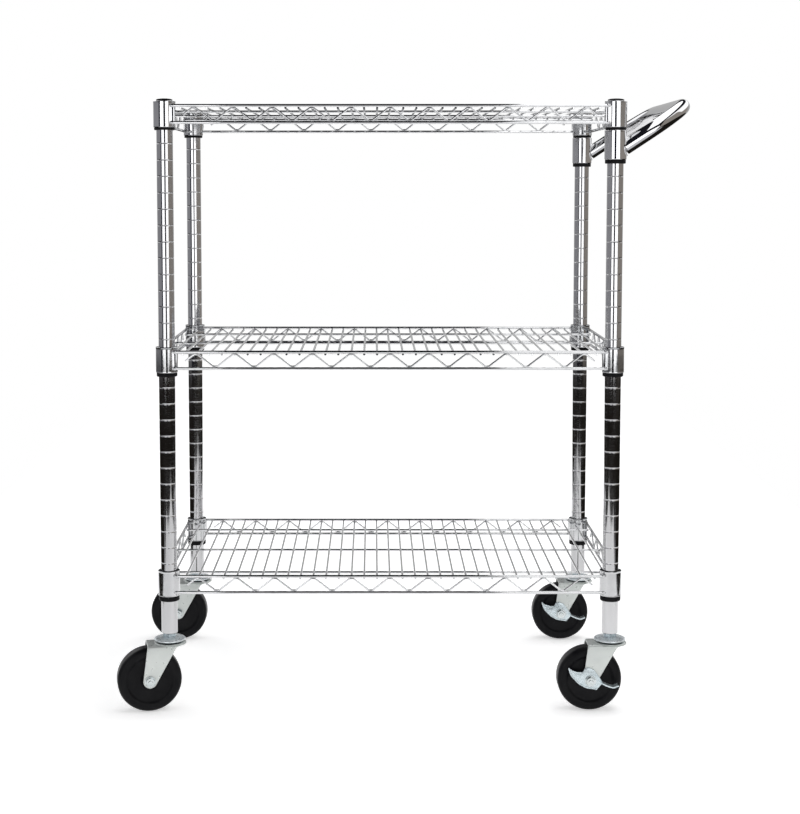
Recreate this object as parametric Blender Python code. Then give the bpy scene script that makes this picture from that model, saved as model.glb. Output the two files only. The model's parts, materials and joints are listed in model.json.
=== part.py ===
"""Three-tier wire utility cart: four posts, three wire shelves, a push handle and four swivel casters.

Metres, +Z up, +X towards the push handle, -Y the front. The cart is laid out about the centre of its
four posts, and stands at last with the middle of its footprint at the origin and its wheels at z = 0.
"""

import math

import bmesh
import bpy
from mathutils import Matrix, Vector

GAP = 0.0003  # clearance between pieces that touch
MERGE = 0.00001
ROUND_SIDES = 12  # sides of posts, sleeves and collars, which share their flats
FAR = 0.1  # how far a cutter runs past what it cuts
OVERLAP = 0.001  # how far solids run into each other before they are joined
SHARP_ANGLE = math.radians(32)
FLAT_ANGLE = math.radians(0.05)
AXIS_MARK = 0.03  # size of the cross drawn for an empty

FINISHES = {  # name: colour, roughness, metallic
    "post_chrome": ((0.78, 0.78, 0.79), 0.12, 1.0),
    "shelf_chrome": ((0.80, 0.80, 0.81), 0.14, 1.0),
    "handle_chrome": ((0.80, 0.80, 0.81), 0.08, 1.0),
    "cap_plastic": ((0.02, 0.02, 0.02), 0.45, 0.0),
    "sleeve_plastic": ((0.02, 0.02, 0.02), 0.40, 0.0),
    "insert_steel": ((0.55, 0.56, 0.56), 0.35, 1.0),
    "caster_zinc": ((0.62, 0.65, 0.65), 0.30, 1.0),
    "brake_zinc": ((0.60, 0.62, 0.62), 0.32, 1.0),
    "bolt_zinc": ((0.50, 0.52, 0.52), 0.35, 1.0),
    "wheel_black": ((0.025, 0.025, 0.025), 0.40, 0.0),
}

# Posts
POST_SPACING_X = 0.700
POST_SPACING_Y = 0.405
POST_RADIUS = 0.0127
POST_WALL = 0.0013
POST_FOOT = 0.1226
POST_TOP = 0.962
CAP_TOP = 0.9654
CAP_PLUG_DEPTH = 0.016
CAP_RIM_HEIGHT = 0.0010
CAP_RIM_DRAFT = 0.0004
CAP_CROWN_RADIUS = 0.0084
CAP_CROWN_DROP = 0.0006
INSERT_LENGTH = 0.030

# Shelves, measured from the centre of the top rail wire
SHELF_HEIGHTS = {"bottom": 0.2165, "middle": 0.572, "top": 0.9539}
RAIL_WIRE = 0.0048
RAIL_DROP = 0.026  # from the upper rail wire down to the lower one
RAIL_OFFSET = 0.014  # from the posts' centre line out to the rail wires
CROSS_WIRE = 0.0030
CROSS_DROP = 0.0039
CROSS_PITCH = 0.0202
CROSS_HALF_COUNT = 17  # cross wires to each side of the middle one
ROD_WIRE = 0.0040
ROD_DROP = 0.0074
SIDE_ROD_Y = 0.161
SIDE_ROD_WELD_STEP = 8  # a side rod is welded to every eighth cross wire
SIDE_ROD_HALF_WELDS = 2
WELD_WIDTH = 0.0020
WELD_LENGTH = 0.0030
WELD_DEPTH = 0.0003
ZIGZAG_WIRE = 0.0030
ZIGZAG_PITCH = 3 * CROSS_PITCH
ZIGZAG_STUB = 0.27 * ZIGZAG_PITCH  # length of the cut end past the last peak
ZIGZAG_HALF_COUNT = 5  # peaks under the upper rail to each side of the middle, front and rear
END_ZIGZAG_HALF_COUNT = 2

# Collars and the split sleeves that wedge them on the posts
COLLAR_RADIUS = 0.0171
COLLAR_WALL = 0.0010
COLLAR_RISE = 0.007
COLLAR_HEIGHT = 0.040
COLLAR_TAPER = 0.0004
SLEEVE_RINGS = {"bottom": 0.0082, "middle": 0.0065, "top": 0.0043}  # height of ring below the collar
HANDLE_SLEEVE_RING = 0.0065
SLEEVE_SHORT = 0.001  # a sleeve ends this far below its collar's upper edge
SLEEVE_SLIT = 0.0020

# Push handle
HANDLE_RADIUS = 0.0117
HANDLE_WALL = 0.0013
HANDLE_TILT = math.radians(33.4)
HANDLE_REACH = 0.1402
HANDLE_BEND = 0.083
HANDLE_ROOT_Z = 0.8799
HANDLE_COLLAR_LOW = 0.8713
HANDLE_COLLAR_HEIGHT = 0.045
HANDLE_START = 0.009  # where the tube starts inside the collar, before the collar is bored
HANDLE_BORE_START = 0.003
HANDLE_BEND_STEPS = 6
HANDLE_BEVEL = 4

# Casters, measured from the swivel axis and the floor
TRAIL = 0.033
WHEEL_RADIUS = 0.0508
WHEEL_WIDTH = 0.032
WHEEL_SIDES = 24
HUB_HALF_WIDTH = 0.0190
HUB_RADIUS = 0.0150
WHEEL_PROFILE = [  # radius as a share of the tread's, how far inside the wheel's side
    (0.33, 0.003),
    (0.82, 0.002),
    (0.93, 0.001),
    (1.0, 0.0072),
]
AXLE_RADIUS = 0.0040
AXLE_SIDES = 8
STEM_RADIUS = 0.0060
STEM_SHORT = 0.004  # the stem ends this far below the insert's upper end
HEX_WIDTH = 0.019
HEX_LOW = 0.116
RACE_RADIUS = 0.025
RACE_LOW = 0.111
RACE_CHAMFER = 0.0018
SEAL_RADIUS = 0.019
KINGPIN_RADIUS = 0.0060
RIVET_RADIUS = 0.0090
RIVET_LOW = 0.1010
RIVET_CHAMFER = 0.0015
FORK_TOP = 0.1075
FORK_SHEET = 0.0025
FORK_HALF_WIDTH = 0.022
FORK_END_RADIUS = 0.027
FORK_END_SWEEP = 0.45  # share of the angle to the plate's sides that its round end covers
FORK_END_STEPS = 10
LEG_FRONT = 0.0102
LEG_BACK = -0.0367
LEG_END_RADIUS = 0.011
LEG_END_STEPS = 6
LEG_LEAN = math.radians(38)
NUT_WIDTH = 0.013
NUT_LENGTH = 0.006
THREAD_END = 0.002  # length of thread past the nut
BRAKE_SHEET = 0.0025
PEDAL_DEPTH = 0.014
CASTERS = {  # name: side along X, side along Y, how far the fork is turned, whether it has a brake
    "front_left": (-1, -1, math.radians(12), False),
    "front_right": (1, -1, 0.0, True),
    "rear_left": (-1, 1, 0.0, False),
    "rear_right": (1, 1, 0.0, True),
}

# Side plate of the brake, in the plane of the fork's leg: x from the axle, z from the axle
BRAKE_LOWER_EDGE = [(-0.0293, 0.0071), (-0.0179, -0.0044), (-0.0065, -0.0107), (0.0107, -0.0130)]
BRAKE_UPPER_EDGE = [(0.0335, -0.0049), (0.0210, 0.0002), (0.0129, 0.0071), (0.0039, 0.0184),
                    (-0.0065, 0.0195), (-0.0179, 0.0150)]
BRAKE_TIP = (-0.0344, 0.0208)
BRAKE_HEEL = (0.0198, -0.0050)
PEDAL_END = (0.0428, -0.0050)


def material(name):
    """A plain finish for one kind of piece."""
    colour, roughness, metallic = FINISHES[name]
    finish = bpy.data.materials.new(name)
    finish.use_nodes = True
    shader = finish.node_tree.nodes["Principled BSDF"]
    shader.inputs["Base Color"].default_value = (*colour, 1.0)
    shader.inputs["Roughness"].default_value = roughness
    shader.inputs["Metallic"].default_value = metallic
    return finish


def mesh_from(bm, name):
    """The finished mesh of a bmesh, its faces pointing out and its round sides shaded smooth."""
    bmesh.ops.recalc_face_normals(bm, faces=bm.faces)
    mesh = bpy.data.meshes.new(name)
    bm.to_mesh(mesh)
    bm.free()
    mesh.shade_smooth()
    mesh.set_sharp_from_angle(angle=SHARP_ANGLE)
    return mesh


def turned(name, profile, sides, start=0.0):
    """A profile of (radius, z) points spun about Z: a loop, or a line whose two ends lie on the axis."""
    bm = bmesh.new()
    verts = [bm.verts.new((r * math.cos(start), r * math.sin(start), z)) for r, z in profile]
    edges = [bm.edges.new(pair) for pair in zip(verts, verts[1:])]
    if profile[0][0] > 0:
        edges.append(bm.edges.new((verts[-1], verts[0])))
    full_turn = 2 * math.pi
    bmesh.ops.spin(bm, geom=verts + edges, cent=(0, 0, 0), axis=(0, 0, 1), angle=full_turn, steps=sides)
    bmesh.ops.remove_doubles(bm, verts=bm.verts, dist=MERGE)
    return mesh_from(bm, name)


def flat_radius(radius, sides):
    """The corner radius of a prism whose flats are this far from its axis."""
    return radius / math.cos(math.pi / sides)


def tube(name, outer, inner, low, high):
    profile = [(outer, low), (outer, high), (inner, high), (inner, low)]
    return turned(name, profile, ROUND_SIDES)


def plug(name, radius, low, high):
    """A solid round bar about Z."""
    return turned(name, [(0, low), (radius, low), (radius, high), (0, high)], ROUND_SIDES)


def prism(name, outline, low, high):
    """An outline of (x, y) points extruded along Z."""
    bm = bmesh.new()
    base = bm.faces.new([bm.verts.new((x, y, low)) for x, y in outline])
    raised = bmesh.ops.extrude_face_region(bm, geom=[base])
    top = [item for item in raised["geom"] if isinstance(item, bmesh.types.BMVert)]
    bmesh.ops.translate(bm, verts=top, vec=(0, 0, high - low))
    return mesh_from(bm, name)


def upright(name, outline, low, high):
    """An outline of (x, z) points extruded along Y."""
    mesh = prism(name, outline, -high, -low)
    mesh.transform(Matrix.Rotation(math.pi / 2, 4, "X"))
    return mesh


def blocks(name, boxes):
    """Separate boxes, each given by its lowest and highest corner."""
    bm = bmesh.new()
    for low, high in boxes:
        size = Vector(high) - Vector(low)
        middle = (Vector(high) + Vector(low)) / 2
        place = Matrix.Translation(middle) @ Matrix.Diagonal(size).to_4x4()
        bmesh.ops.create_cube(bm, size=1.0, matrix=place)
    return mesh_from(bm, name)


def arc(centre, radius, start, end, steps):
    """Points along an arc, both ends included, angles in radians."""
    angles = [start + (end - start) * k / steps for k in range(steps + 1)]
    return [(centre[0] + radius * math.cos(a), centre[1] + radius * math.sin(a)) for a in angles]


def ribbon(points, width):
    """The outline of a strip of even width along a line of (x, y) points."""
    line = [Vector(point) for point in points]
    left, right = [], []
    for k, point in enumerate(line):
        before = (point - line[k - 1]).normalized() if k else (line[1] - point).normalized()
        after = (line[k + 1] - point).normalized() if k < len(line) - 1 else before
        along = (before + after).normalized()
        across = Vector((-along.y, along.x)) * (width / 2 / along.dot(after))
        left.append(point + across)
        right.append(point - across)
    return [tuple(point) for point in left + right[::-1]]


def cut(mesh, cutters, operation):
    """The mesh joined with, or cut by, each of the cutters in turn."""
    for cutter in cutters:
        body = bpy.data.objects.new("body", mesh)
        tool = bpy.data.objects.new("tool", cutter)
        bpy.context.collection.objects.link(body)
        bpy.context.collection.objects.link(tool)
        boolean = body.modifiers.new("boolean", "BOOLEAN")
        boolean.object = tool
        boolean.operation = operation
        boolean.solver = "EXACT"
        evaluated = body.evaluated_get(bpy.context.evaluated_depsgraph_get())
        made = bpy.data.meshes.new_from_object(evaluated)
        bpy.data.objects.remove(body)
        bpy.data.objects.remove(tool)
        mesh = made
    bm = bmesh.new()
    bm.from_mesh(mesh)
    bmesh.ops.remove_doubles(bm, verts=bm.verts, dist=MERGE)
    bmesh.ops.dissolve_limit(bm, angle_limit=FLAT_ANGLE, verts=bm.verts, edges=bm.edges)
    bmesh.ops.triangulate(bm, faces=bm.faces)
    return mesh_from(bm, mesh.name)


def place(name, mesh, finish, parent, location=(0, 0, 0), turn=0.0):
    """One piece of the cart, with its own finish on a mesh that its twins may share."""
    piece = bpy.data.objects.new(name, mesh)
    bpy.context.collection.objects.link(piece)
    if not mesh.materials:
        mesh.materials.append(finish)
    piece.material_slots[0].link = "OBJECT"
    piece.material_slots[0].material = finish
    piece.parent = parent
    piece.location = location
    piece.rotation_euler = (0, 0, turn)
    return piece


def pivot(name, parent, location, turn=0.0):
    """An empty on a joint's axis."""
    empty = bpy.data.objects.new(name, None)
    empty.empty_display_size = AXIS_MARK
    bpy.context.collection.objects.link(empty)
    empty.parent = parent
    empty.location = location
    empty.rotation_euler = (0, 0, turn)
    return empty


def post_corners():
    """The name, side along X, side along Y and place of each post."""
    for name, (side_x, side_y, _, _) in CASTERS.items():
        yield name, side_x, side_y, (side_x * POST_SPACING_X / 2, side_y * POST_SPACING_Y / 2, 0)


def build_posts(cart):
    chrome = material("post_chrome")
    black = material("cap_plastic")
    steel = material("insert_steel")
    inner = POST_RADIUS - POST_WALL
    post = tube("post", POST_RADIUS, inner, POST_FOOT, POST_TOP)
    fit = inner - GAP
    foot = POST_TOP - CAP_PLUG_DEPTH
    rim = POST_TOP + GAP
    cap = turned("cap", [(0, foot), (fit, foot), (fit, rim), (POST_RADIUS, rim),
                         (POST_RADIUS - CAP_RIM_DRAFT, rim + CAP_RIM_HEIGHT),
                         (CAP_CROWN_RADIUS, CAP_TOP - CAP_CROWN_DROP), (0, CAP_TOP)], ROUND_SIDES)
    insert = tube("insert", fit, STEM_RADIUS + GAP, POST_FOOT, POST_FOOT + INSERT_LENGTH)
    for name, _, _, corner in post_corners():
        place(f"post_{name}", post, chrome, cart, corner)
        place(f"post_cap_{name}", cap, black, cart, corner)
        place(f"foot_insert_{name}", insert, steel, cart, corner)


def sleeve_mesh(name, collar_height, ring):
    """A tapered sleeve, slit on one side, from its ring below the collar to the collar's upper edge."""
    wedge = COLLAR_RADIUS - COLLAR_WALL - GAP
    bore = POST_RADIUS + GAP
    top = collar_height - SLEEVE_SHORT
    profile = [(bore, -ring), (wedge, -ring), (wedge, 0.0), (wedge - COLLAR_TAPER, top), (bore, top)]
    slit = blocks("slit", [((0, -SLEEVE_SLIT / 2, -FAR), (FAR, SLEEVE_SLIT / 2, FAR))])
    return cut(turned(name, profile, ROUND_SIDES), [slit], "DIFFERENCE")


def collar_bore(collar_height):
    """The cone that opens a collar from end to end, a little wider at the foot."""
    wall_foot = COLLAR_RADIUS - COLLAR_WALL
    slope = COLLAR_TAPER / collar_height
    low, high = -FAR, collar_height + FAR
    return turned("bore", [(0, low), (wall_foot - low * slope, low), (wall_foot - high * slope, high),
                           (0, high)], ROUND_SIDES)


def build_sleeves(cart):
    black = material("sleeve_plastic")
    shelf_sleeves = {level: sleeve_mesh(f"{level}_sleeve", COLLAR_HEIGHT, ring)
                     for level, ring in SLEEVE_RINGS.items()}
    handle_sleeve = sleeve_mesh("handle_sleeve", HANDLE_COLLAR_HEIGHT, HANDLE_SLEEVE_RING)
    for name, side_x, _, (x, y, _) in post_corners():
        for level, height in SHELF_HEIGHTS.items():
            foot = height + COLLAR_RISE - COLLAR_HEIGHT
            place(f"{level}_sleeve_{name}", shelf_sleeves[level], black, cart, (x, y, foot))
        if side_x > 0:
            place(f"handle_sleeve_{name}", handle_sleeve, black, cart, (x, y, HANDLE_COLLAR_LOW))


def mat_mesh():
    """The cross wires of a shelf on their three rods, with z = 0 at the upper rail wire's centre."""
    edge_y = POST_SPACING_Y / 2 + RAIL_OFFSET - RAIL_WIRE / 2 - GAP
    corner_y = POST_SPACING_Y / 2 - COLLAR_RADIUS - GAP
    rod_x = POST_SPACING_X / 2 + RAIL_OFFSET - RAIL_WIRE / 2 - GAP
    wire_low = -CROSS_DROP - CROSS_WIRE / 2
    wire_high = wire_low + CROSS_WIRE
    half_wire = CROSS_WIRE / 2
    wires = []
    for n in range(-CROSS_HALF_COUNT, CROSS_HALF_COUNT + 1):
        reach = corner_y if abs(n) == CROSS_HALF_COUNT else edge_y
        x = n * CROSS_PITCH
        wires.append(((x - half_wire, -reach, wire_low), (x + half_wire, reach, wire_high)))
    half_rod = ROD_WIRE / 2
    rod_low = -ROD_DROP - half_rod
    weld_high = wire_low + WELD_DEPTH
    middle_rod = [((-rod_x, -half_rod, rod_low), (rod_x, half_rod, weld_high))]
    half_width, half_length = WELD_WIDTH / 2, WELD_LENGTH / 2
    side_rods, welds = [], []
    for y in (-SIDE_ROD_Y, SIDE_ROD_Y):
        side_rods.append(((-rod_x, y - half_rod, rod_low), (rod_x, y + half_rod, wire_low - GAP)))
        for n in range(-SIDE_ROD_HALF_WELDS, SIDE_ROD_HALF_WELDS + 1):
            x = n * SIDE_ROD_WELD_STEP * CROSS_PITCH
            welds.append(((x - half_width, y - half_length, wire_low - OVERLAP),
                          (x + half_width, y + half_length, weld_high)))
    rods = cut(blocks("rods", side_rods), [blocks("welds", welds)], "UNION")
    return cut(blocks("mat", wires), [blocks("middle_rod", middle_rod), rods], "UNION")


def truss_mesh(name, half_length, half_count):
    """Two rail wires with a zigzag wire between them, along X, with z = 0 at the upper rail's centre."""
    half = RAIL_WIRE / 2
    rails = [((-half_length, -half, z - half), (half_length, half, z + half)) for z in (0.0, -RAIL_DROP)]
    peak, foot = -half, -RAIL_DROP + half
    line = []
    for n in range(-half_count, half_count + 1):
        line.append((n * ZIGZAG_PITCH, peak))
        if n < half_count:
            line.append(((n + 0.5) * ZIGZAG_PITCH, foot))
    end_x = half_count * ZIGZAG_PITCH
    end_z = peak - (peak - foot) * ZIGZAG_STUB / (ZIGZAG_PITCH / 2)
    line = [(-end_x - ZIGZAG_STUB, end_z)] + line + [(end_x + ZIGZAG_STUB, end_z)]
    zigzag = upright("zigzag", ribbon(line, ZIGZAG_WIRE), -ZIGZAG_WIRE / 2, ZIGZAG_WIRE / 2)
    return cut(blocks(name, rails), [zigzag], "UNION")


def end_truss_mesh():
    """The truss across one end of a shelf, welded to the collars on the two posts there, at x = 0."""
    half_y = POST_SPACING_Y / 2
    rail_reach = half_y - COLLAR_RADIUS / 2
    truss = truss_mesh("end_truss", rail_reach, END_ZIGZAG_HALF_COUNT)
    truss.transform(Matrix.Translation((RAIL_OFFSET, 0, 0)) @ Matrix.Rotation(math.pi / 2, 4, "Z"))
    low = COLLAR_RISE - COLLAR_HEIGHT
    collars, bores = [], []
    for y in (-half_y, half_y):
        collar = plug("collar", COLLAR_RADIUS, low, COLLAR_RISE)
        collar.transform(Matrix.Translation((0, y, 0)))
        collars.append(collar)
        bore = collar_bore(COLLAR_HEIGHT)
        bore.transform(Matrix.Translation((0, y, low)))
        bores.append(bore)
    return cut(cut(truss, collars, "UNION"), bores, "DIFFERENCE")


def build_shelves(cart):
    chrome = material("shelf_chrome")
    mat = mat_mesh()
    collar_reach = math.sqrt(COLLAR_RADIUS ** 2 - (RAIL_OFFSET - RAIL_WIRE / 2) ** 2)
    side = truss_mesh("side_truss", POST_SPACING_X / 2 - collar_reach - GAP, ZIGZAG_HALF_COUNT)
    end = end_truss_mesh()
    side_y = POST_SPACING_Y / 2 + RAIL_OFFSET
    end_x = POST_SPACING_X / 2
    for level, height in SHELF_HEIGHTS.items():
        place(f"{level}_shelf_mat", mat, chrome, cart, (0, 0, height))
        place(f"{level}_shelf_front_truss", side, chrome, cart, (0, -side_y, height))
        place(f"{level}_shelf_rear_truss", side, chrome, cart, (0, side_y, height))
        place(f"{level}_shelf_right_end", end, chrome, cart, (end_x, 0, height))
        place(f"{level}_shelf_left_end", end, chrome, cart, (-end_x, 0, height), math.pi)


def handle_path(start):
    """The centre line of the handle's tube in its own tilted plane, as (x, y, z) points from leg to leg."""
    half = POST_SPACING_Y / 2
    straight = HANDLE_REACH - HANDLE_BEND
    flat = [(start, -half)]
    flat += arc((straight, HANDLE_BEND - half), HANDLE_BEND, -math.pi / 2, 0, HANDLE_BEND_STEPS)
    flat += [(s, -y) for s, y in reversed(flat)]
    rise = Vector((math.cos(HANDLE_TILT), 0, math.sin(HANDLE_TILT)))
    root = Vector((POST_SPACING_X / 2, 0, HANDLE_ROOT_Z))
    return [root + s * rise + Vector((0, y, 0)) for s, y in flat]


def bent_rod(name, path, radius):
    """A round solid along a path."""
    curve = bpy.data.curves.new(name, "CURVE")
    curve.dimensions = "3D"
    curve.bevel_depth = radius
    curve.bevel_resolution = HANDLE_BEVEL
    curve.use_fill_caps = True
    spline = curve.splines.new("POLY")
    spline.points.add(len(path) - 1)
    for point, spot in zip(spline.points, path):
        point.co = (*spot, 1.0)
    holder = bpy.data.objects.new(name, curve)
    bpy.context.collection.objects.link(holder)
    evaluated = holder.evaluated_get(bpy.context.evaluated_depsgraph_get())
    mesh = bpy.data.meshes.new_from_object(evaluated)
    bpy.data.objects.remove(holder)
    bm = bmesh.new()
    bm.from_mesh(mesh)
    bmesh.ops.remove_doubles(bm, verts=bm.verts, dist=MERGE)
    return mesh_from(bm, name)


def build_handle(cart):
    chrome = material("handle_chrome")
    collars, bores = [], []
    top = HANDLE_COLLAR_LOW + HANDLE_COLLAR_HEIGHT
    for y in (-POST_SPACING_Y / 2, POST_SPACING_Y / 2):
        shift = Matrix.Translation((POST_SPACING_X / 2, y, 0))
        collar = plug("collar", COLLAR_RADIUS, HANDLE_COLLAR_LOW, top)
        collar.transform(shift)
        collars.append(collar)
        bore = collar_bore(HANDLE_COLLAR_HEIGHT)
        bore.transform(shift @ Matrix.Translation((0, 0, HANDLE_COLLAR_LOW)))
        bores.append(bore)
    outer = bent_rod("push_handle", handle_path(HANDLE_START), HANDLE_RADIUS)
    hollow = bent_rod("hollow", handle_path(HANDLE_BORE_START), HANDLE_RADIUS - HANDLE_WALL)
    handle = cut(cut(outer, collars, "UNION"), [hollow] + bores, "DIFFERENCE")
    place("push_handle", handle, chrome, cart)


def hexagon(name, width, low, high):
    corner = flat_radius(width / 2, 6)
    return prism(name, arc((0, 0), corner, 0, 2 * math.pi * 5 / 6, 5), low, high)


def stem_mesh():
    """Threaded stem, hexagon, race plate and kingpin with its riveted foot: one solid about Z."""
    stem_top = POST_FOOT + INSERT_LENGTH - STEM_SHORT
    under_fork = FORK_TOP - FORK_SHEET - GAP
    over_fork = FORK_TOP + GAP
    turned_part = turned("stem", [
        (0, RIVET_LOW), (RIVET_RADIUS - RIVET_CHAMFER, RIVET_LOW),
        (RIVET_RADIUS, RIVET_LOW + RIVET_CHAMFER), (RIVET_RADIUS, under_fork),
        (KINGPIN_RADIUS, under_fork), (KINGPIN_RADIUS, over_fork), (SEAL_RADIUS, over_fork),
        (SEAL_RADIUS, RACE_LOW), (RACE_RADIUS, RACE_LOW), (RACE_RADIUS, HEX_LOW - RACE_CHAMFER),
        (RACE_RADIUS - RACE_CHAMFER, HEX_LOW), (STEM_RADIUS, HEX_LOW), (STEM_RADIUS, stem_top),
        (0, stem_top)], ROUND_SIDES)
    return cut(turned_part, [hexagon("hex", HEX_WIDTH, HEX_LOW - OVERLAP, POST_FOOT - GAP)], "UNION")


def fork_mesh():
    """The pressed fork: a drop-shaped top plate with two legs, about the swivel axis."""
    sweep = math.pi / 2 + math.acos(FORK_HALF_WIDTH / FORK_END_RADIUS) * FORK_END_SWEEP
    plate_outline = arc((0, 0), FORK_END_RADIUS, -sweep, sweep, FORK_END_STEPS)
    plate_outline += [(LEG_BACK, FORK_HALF_WIDTH), (LEG_BACK, -FORK_HALF_WIDTH)]
    plate = prism("fork", plate_outline, FORK_TOP - FORK_SHEET, FORK_TOP)
    axle = (-TRAIL, WHEEL_RADIUS)
    leg_top = FORK_TOP - FORK_SHEET / 2
    leg_outline = [(LEG_FRONT, leg_top), (LEG_BACK, leg_top)]
    leg_outline += arc(axle, LEG_END_RADIUS, math.pi, 2 * math.pi - LEG_LEAN, LEG_END_STEPS)
    legs = [upright("leg", leg_outline, FORK_HALF_WIDTH - FORK_SHEET, FORK_HALF_WIDTH),
            upright("leg", leg_outline, -FORK_HALF_WIDTH, FORK_SHEET - FORK_HALF_WIDTH)]
    king_hole = plug("hole", KINGPIN_RADIUS + GAP, FORK_TOP - FAR, FORK_TOP + FAR)
    axle_hole = round_across("hole", axle, AXLE_RADIUS + GAP, -FAR, FAR)
    return cut(cut(plate, legs, "UNION"), [king_hole, axle_hole], "DIFFERENCE")


def round_across(name, centre, radius, low, high):
    """A rod along Y, its centre given in (x, z)."""
    mesh = turned(name, [(0, low), (radius, low), (radius, high), (0, high)], AXLE_SIDES)
    mesh.transform(Matrix.Translation((centre[0], 0, centre[1])) @ Matrix.Rotation(-math.pi / 2, 4, "X"))
    return mesh


def wheel_mesh():
    """The wheel about its axle, which lies along Y: flats in place of a true circle, one at the foot."""
    tread = flat_radius(WHEEL_RADIUS, WHEEL_SIDES)
    half = WHEEL_WIDTH / 2
    bore = flat_radius(AXLE_RADIUS + GAP, WHEEL_SIDES)
    right = [(bore, HUB_HALF_WIDTH), (HUB_RADIUS, HUB_HALF_WIDTH)]
    right += [(tread * share, half - inside) for share, inside in WHEEL_PROFILE]
    profile = right + [(r, -z) for r, z in reversed(right)]
    mesh = turned("wheel", profile, WHEEL_SIDES, start=math.pi / WHEEL_SIDES)
    mesh.transform(Matrix.Rotation(math.pi / 2, 4, "X"))
    return mesh


def axle_mesh(front_sheet):
    """The axle bolt along Y: its head outside the rear leg, its nut outside the front leg or the brake."""
    near = -FORK_HALF_WIDTH - GAP - front_sheet
    far = FORK_HALF_WIDTH + GAP
    shank = round_across("axle", (0, 0), AXLE_RADIUS, near - NUT_LENGTH - THREAD_END, far + OVERLAP)
    ends = []
    for low, high in ((near - NUT_LENGTH, near), (far, far + NUT_LENGTH)):
        end = hexagon("end", NUT_WIDTH, -high, -low)
        end.transform(Matrix.Rotation(math.pi / 2, 4, "X"))
        ends.append(end)
    return cut(shank, ends, "UNION")


def brake_mesh():
    """The side brake: a plate outside the fork's leg, with a pedal bent outwards at its far end."""
    outline = [BRAKE_TIP] + BRAKE_LOWER_EDGE + [BRAKE_HEEL, PEDAL_END] + BRAKE_UPPER_EDGE
    inner = -FORK_HALF_WIDTH - GAP
    plate = upright("brake", outline, inner - BRAKE_SHEET, inner)
    pedal_outline = ribbon([BRAKE_HEEL, PEDAL_END], BRAKE_SHEET)
    pedal = upright("pedal", pedal_outline, inner - PEDAL_DEPTH, inner - BRAKE_SHEET / 2)
    hole = round_across("hole", (0, 0), flat_radius(AXLE_RADIUS + GAP, AXLE_SIDES), -FAR, FAR)
    return cut(cut(plate, [pedal], "UNION"), [hole], "DIFFERENCE")


def build_casters(cart):
    zinc = material("caster_zinc")
    bolt = material("bolt_zinc")
    black = material("wheel_black")
    lever = material("brake_zinc")
    stem, fork, wheel, brake = stem_mesh(), fork_mesh(), wheel_mesh(), brake_mesh()
    plain_axle, brake_axle = axle_mesh(0.0), axle_mesh(BRAKE_SHEET + GAP)
    for name, (side_x, side_y, turn, braked) in CASTERS.items():
        corner = (side_x * POST_SPACING_X / 2, side_y * POST_SPACING_Y / 2, 0)
        place(f"caster_stem_{name}", stem, zinc, cart, corner)
        swivel = pivot(f"swivel_axis_{name}", cart, corner, turn)
        place(f"caster_fork_{name}", fork, zinc, swivel)
        axle = pivot(f"wheel_axis_{name}", swivel, (-TRAIL, 0, WHEEL_RADIUS))
        place(f"caster_axle_{name}", brake_axle if braked else plain_axle, bolt, axle)
        place(f"caster_wheel_{name}", wheel, black, axle)
        if braked:
            place(f"brake_lever_{name}", brake, lever, axle)


def stand_on_origin(cart):
    """Moves the whole cart so that the middle of its footprint is at the origin."""
    bpy.context.view_layer.update()
    corners = [piece.matrix_world @ vertex.co for piece in bpy.data.objects if piece.type == "MESH"
               for vertex in piece.data.vertices]
    middle_x = (min(c.x for c in corners) + max(c.x for c in corners)) / 2
    middle_y = (min(c.y for c in corners) + max(c.y for c in corners)) / 2
    cart.location = (-middle_x, -middle_y, -min(c.z for c in corners))


def build_cart():
    for piece in list(bpy.data.objects):
        bpy.data.objects.remove(piece)
    cart = pivot("cart", None, (0, 0, 0))
    build_posts(cart)
    build_sleeves(cart)
    build_shelves(cart)
    build_handle(cart)
    build_casters(cart)
    stand_on_origin(cart)


build_cart()
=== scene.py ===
"""Looks of the three-tier wire utility cart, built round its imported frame. Metres, +Z up, -Y the front."""

import json
import math

import bmesh
import bpy
from mathutils import Matrix, Vector


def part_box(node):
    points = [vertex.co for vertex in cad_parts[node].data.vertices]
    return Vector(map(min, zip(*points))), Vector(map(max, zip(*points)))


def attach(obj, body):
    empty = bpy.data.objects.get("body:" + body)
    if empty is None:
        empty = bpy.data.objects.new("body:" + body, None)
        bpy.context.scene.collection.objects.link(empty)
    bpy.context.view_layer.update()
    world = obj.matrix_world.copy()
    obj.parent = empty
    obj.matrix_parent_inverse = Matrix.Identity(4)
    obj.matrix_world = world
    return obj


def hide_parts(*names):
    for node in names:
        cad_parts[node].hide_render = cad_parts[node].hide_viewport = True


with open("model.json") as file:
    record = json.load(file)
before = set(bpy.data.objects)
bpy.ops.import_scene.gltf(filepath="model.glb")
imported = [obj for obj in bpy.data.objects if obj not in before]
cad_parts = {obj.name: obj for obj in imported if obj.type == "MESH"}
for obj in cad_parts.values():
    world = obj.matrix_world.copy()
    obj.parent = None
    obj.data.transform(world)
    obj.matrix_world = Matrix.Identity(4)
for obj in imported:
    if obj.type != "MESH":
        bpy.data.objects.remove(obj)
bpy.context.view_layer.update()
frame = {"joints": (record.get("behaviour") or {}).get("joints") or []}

CORNERS = ("front_left", "front_right", "rear_left", "rear_right")
BRAKED = ("front_right", "rear_right")
LEVELS = ("bottom", "middle", "top")
TURN = 2 * math.pi

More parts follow.
